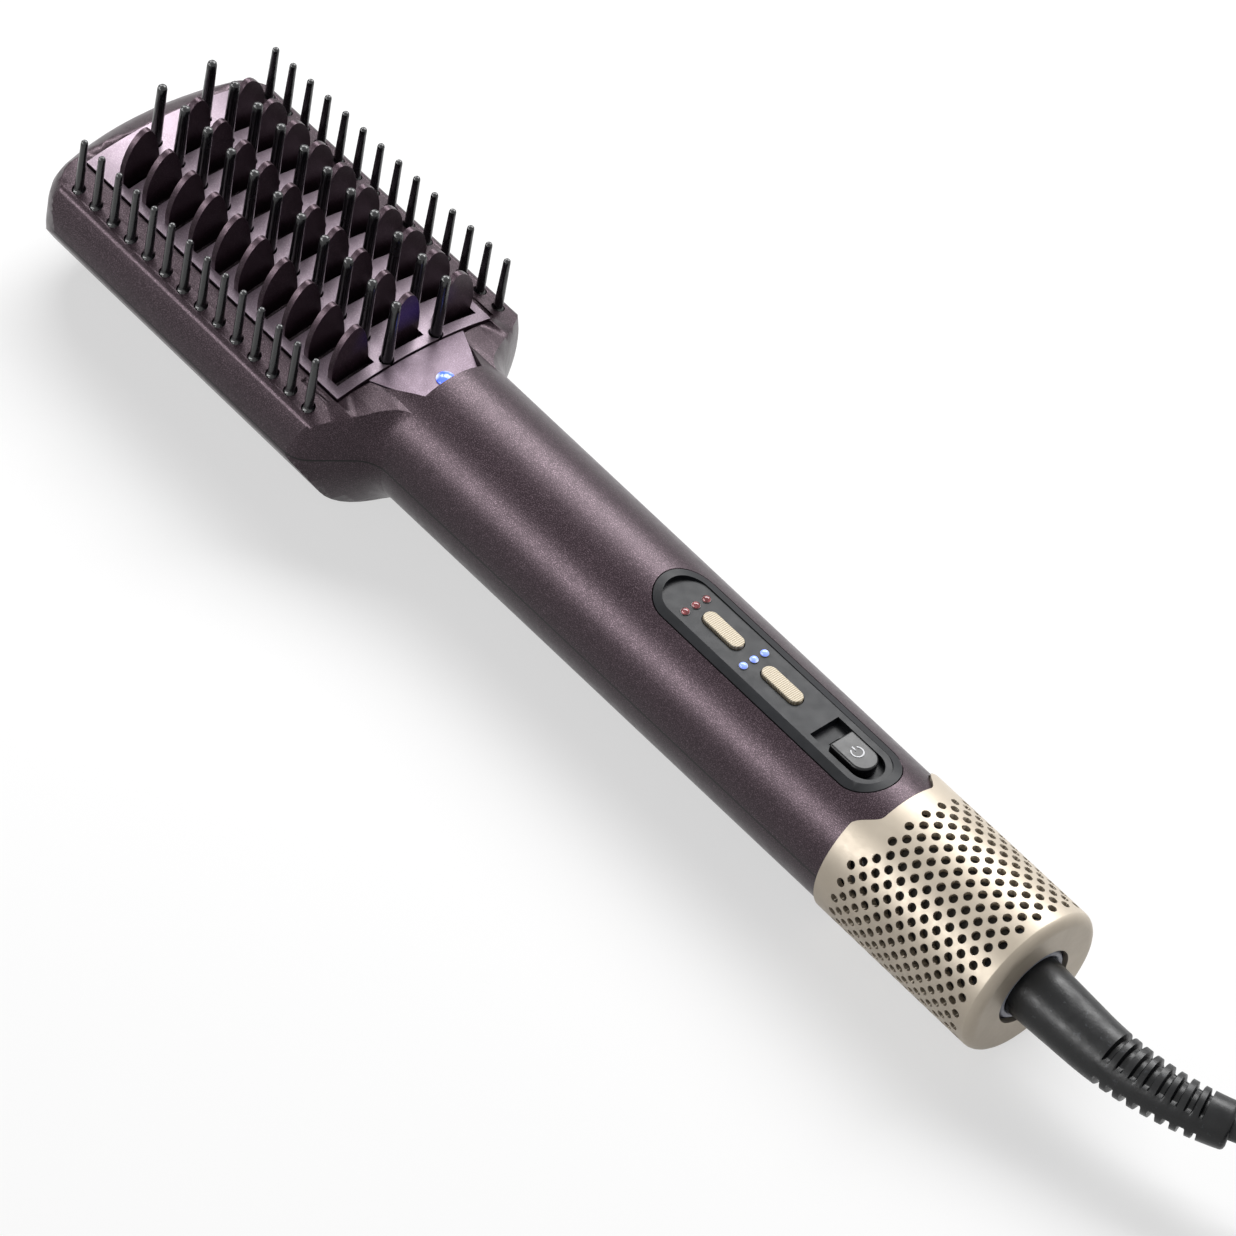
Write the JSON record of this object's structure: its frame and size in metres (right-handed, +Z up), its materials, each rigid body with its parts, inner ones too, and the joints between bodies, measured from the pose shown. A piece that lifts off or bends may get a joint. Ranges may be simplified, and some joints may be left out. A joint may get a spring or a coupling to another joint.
{
  "type": "hot air paddle brush",
  "caption": "Slim handheld hot air paddle brush: finned air plate with bristles, round handle with switch panel, perforated rear air intake, turning cord with plug.",
  "frame": {"origin": "centre of the base of the brush without its cord, on the table that it lies on", "axes": "+X from the head along the handle to the cord, +Z up through the bristles, +Y across the head to the side that the cord bends to"},
  "size_m": [0.5431, 0.1059, 0.0582],
  "materials": {
    "plum_shell": "satin pearlescent paint",
    "plum_shell_lower": "satin pearlescent paint",
    "plum_plate": "satin pearlescent",
    "black_bristle": "fine matt nylon",
    "lilac_panel": "satin pearlescent",
    "blue_lens": "clear moulded lens, lit",
    "white_insulator": "moulded",
    "graphite_panel": "satin",
    "red_light": "tinted light pipe",
    "blue_light": "frosted light pipe, lit",
    "cream_button": "satin, fine ribs",
    "black_knob": "polished",
    "switch_case": "stamped",
    "circuit_board": "solder mask",
    "mica": "pressed mica sheet",
    "heating_wire": "oxidised",
    "motor_steel": "drawn can",
    "screw_steel": "zinc plated",
    "fan_plastic": "moulded",
    "graphite_core": "moulded",
    "filter_mesh": "fine woven mesh",
    "champagne_cover": "satin metallic paint",
    "plum_grey_collar": "satin",
    "brass_ring": "turned",
    "cord_rubber": "worn matt",
    "tie_strap": "hook-and-loop",
    "plug_rubber": "fine texture",
    "pin_steel": "nickel plated"
  },
  "bodies": {
    "housing": {"upper_housing": "plum_shell", "lower_housing": "plum_shell_lower", "fin_plate": "plum_plate", "near_outer_bristles": "black_bristle", "far_outer_bristles": "black_bristle", "near_inner_bristles": "black_bristle", "far_inner_bristles": "black_bristle", "neck_panel": "lilac_panel", "ion_lens": "blue_lens", "ion_emitter": "white_insulator", "control_panel": "graphite_panel", "heat_lights": "red_light", "speed_lights": "blue_light", "slide_switch": "switch_case", "button_switches": "switch_case", "control_board": "circuit_board", "heat_shield": "mica", "heater_frame": "mica", "heater_coil": "heating_wire", "thermostat": "switch_case", "thermal_fuse": "white_insulator", "air_guide": "plum_shell_lower", "motor": "motor_steel", "motor_mount": "white_insulator", "motor_screws": "screw_steel", "rear_core": "graphite_core", "intake_filter": "filter_mesh"},
    "fan": {"motor_shaft": "screw_steel", "fan_wheel": "fan_plastic"},
    "heat_key": {"heat_button": "cream_button"},
    "speed_key": {"speed_button": "cream_button"},
    "power_key": {"power_slider": "black_knob"},
    "cover": {"rear_cover": "champagne_cover"},
    "swivel": {"swivel_collar": "plum_grey_collar", "contact_rings": "brass_ring", "strain_relief": "cord_rubber", "cord": "cord_rubber", "cord_coil": "cord_rubber", "cord_tie": "tie_strap", "plug_body": "plug_rubber", "plug_pins": "pin_steel"}
  },
  "joints": [
    {"name": "fan_spin", "type": "hinge", "parent": "housing", "child": "fan", "pos_m": [0.1172, 0, 0.0209], "axis": [1, 0, 0], "continuous": true},
    {"name": "heat_button_press", "type": "slide", "parent": "housing", "child": "heat_key", "axis": [0, 0, -1], "range_m": [0, 0.0007], "stiffness_N_per_m": 1500, "springref_m": -0.0004},
    {"name": "speed_button_press", "type": "slide", "parent": "housing", "child": "speed_key", "axis": [0, 0, -1], "range_m": [0, 0.0007], "stiffness_N_per_m": 1500, "springref_m": -0.0004},
    {"name": "power_slide", "type": "slide", "parent": "housing", "child": "power_key", "axis": [-1, 0, 0], "range_m": [0, 0.0048]},
    {"name": "cover_slide", "type": "slide", "parent": "housing", "child": "cover", "axis": [1, 0, 0], "range_m": [0, 0.042]},
    {"name": "cord_swivel", "type": "hinge", "parent": "housing", "child": "swivel", "pos_m": [0.1647, 0, 0.0209], "axis": [1, 0, 0], "continuous": true}
  ]
}
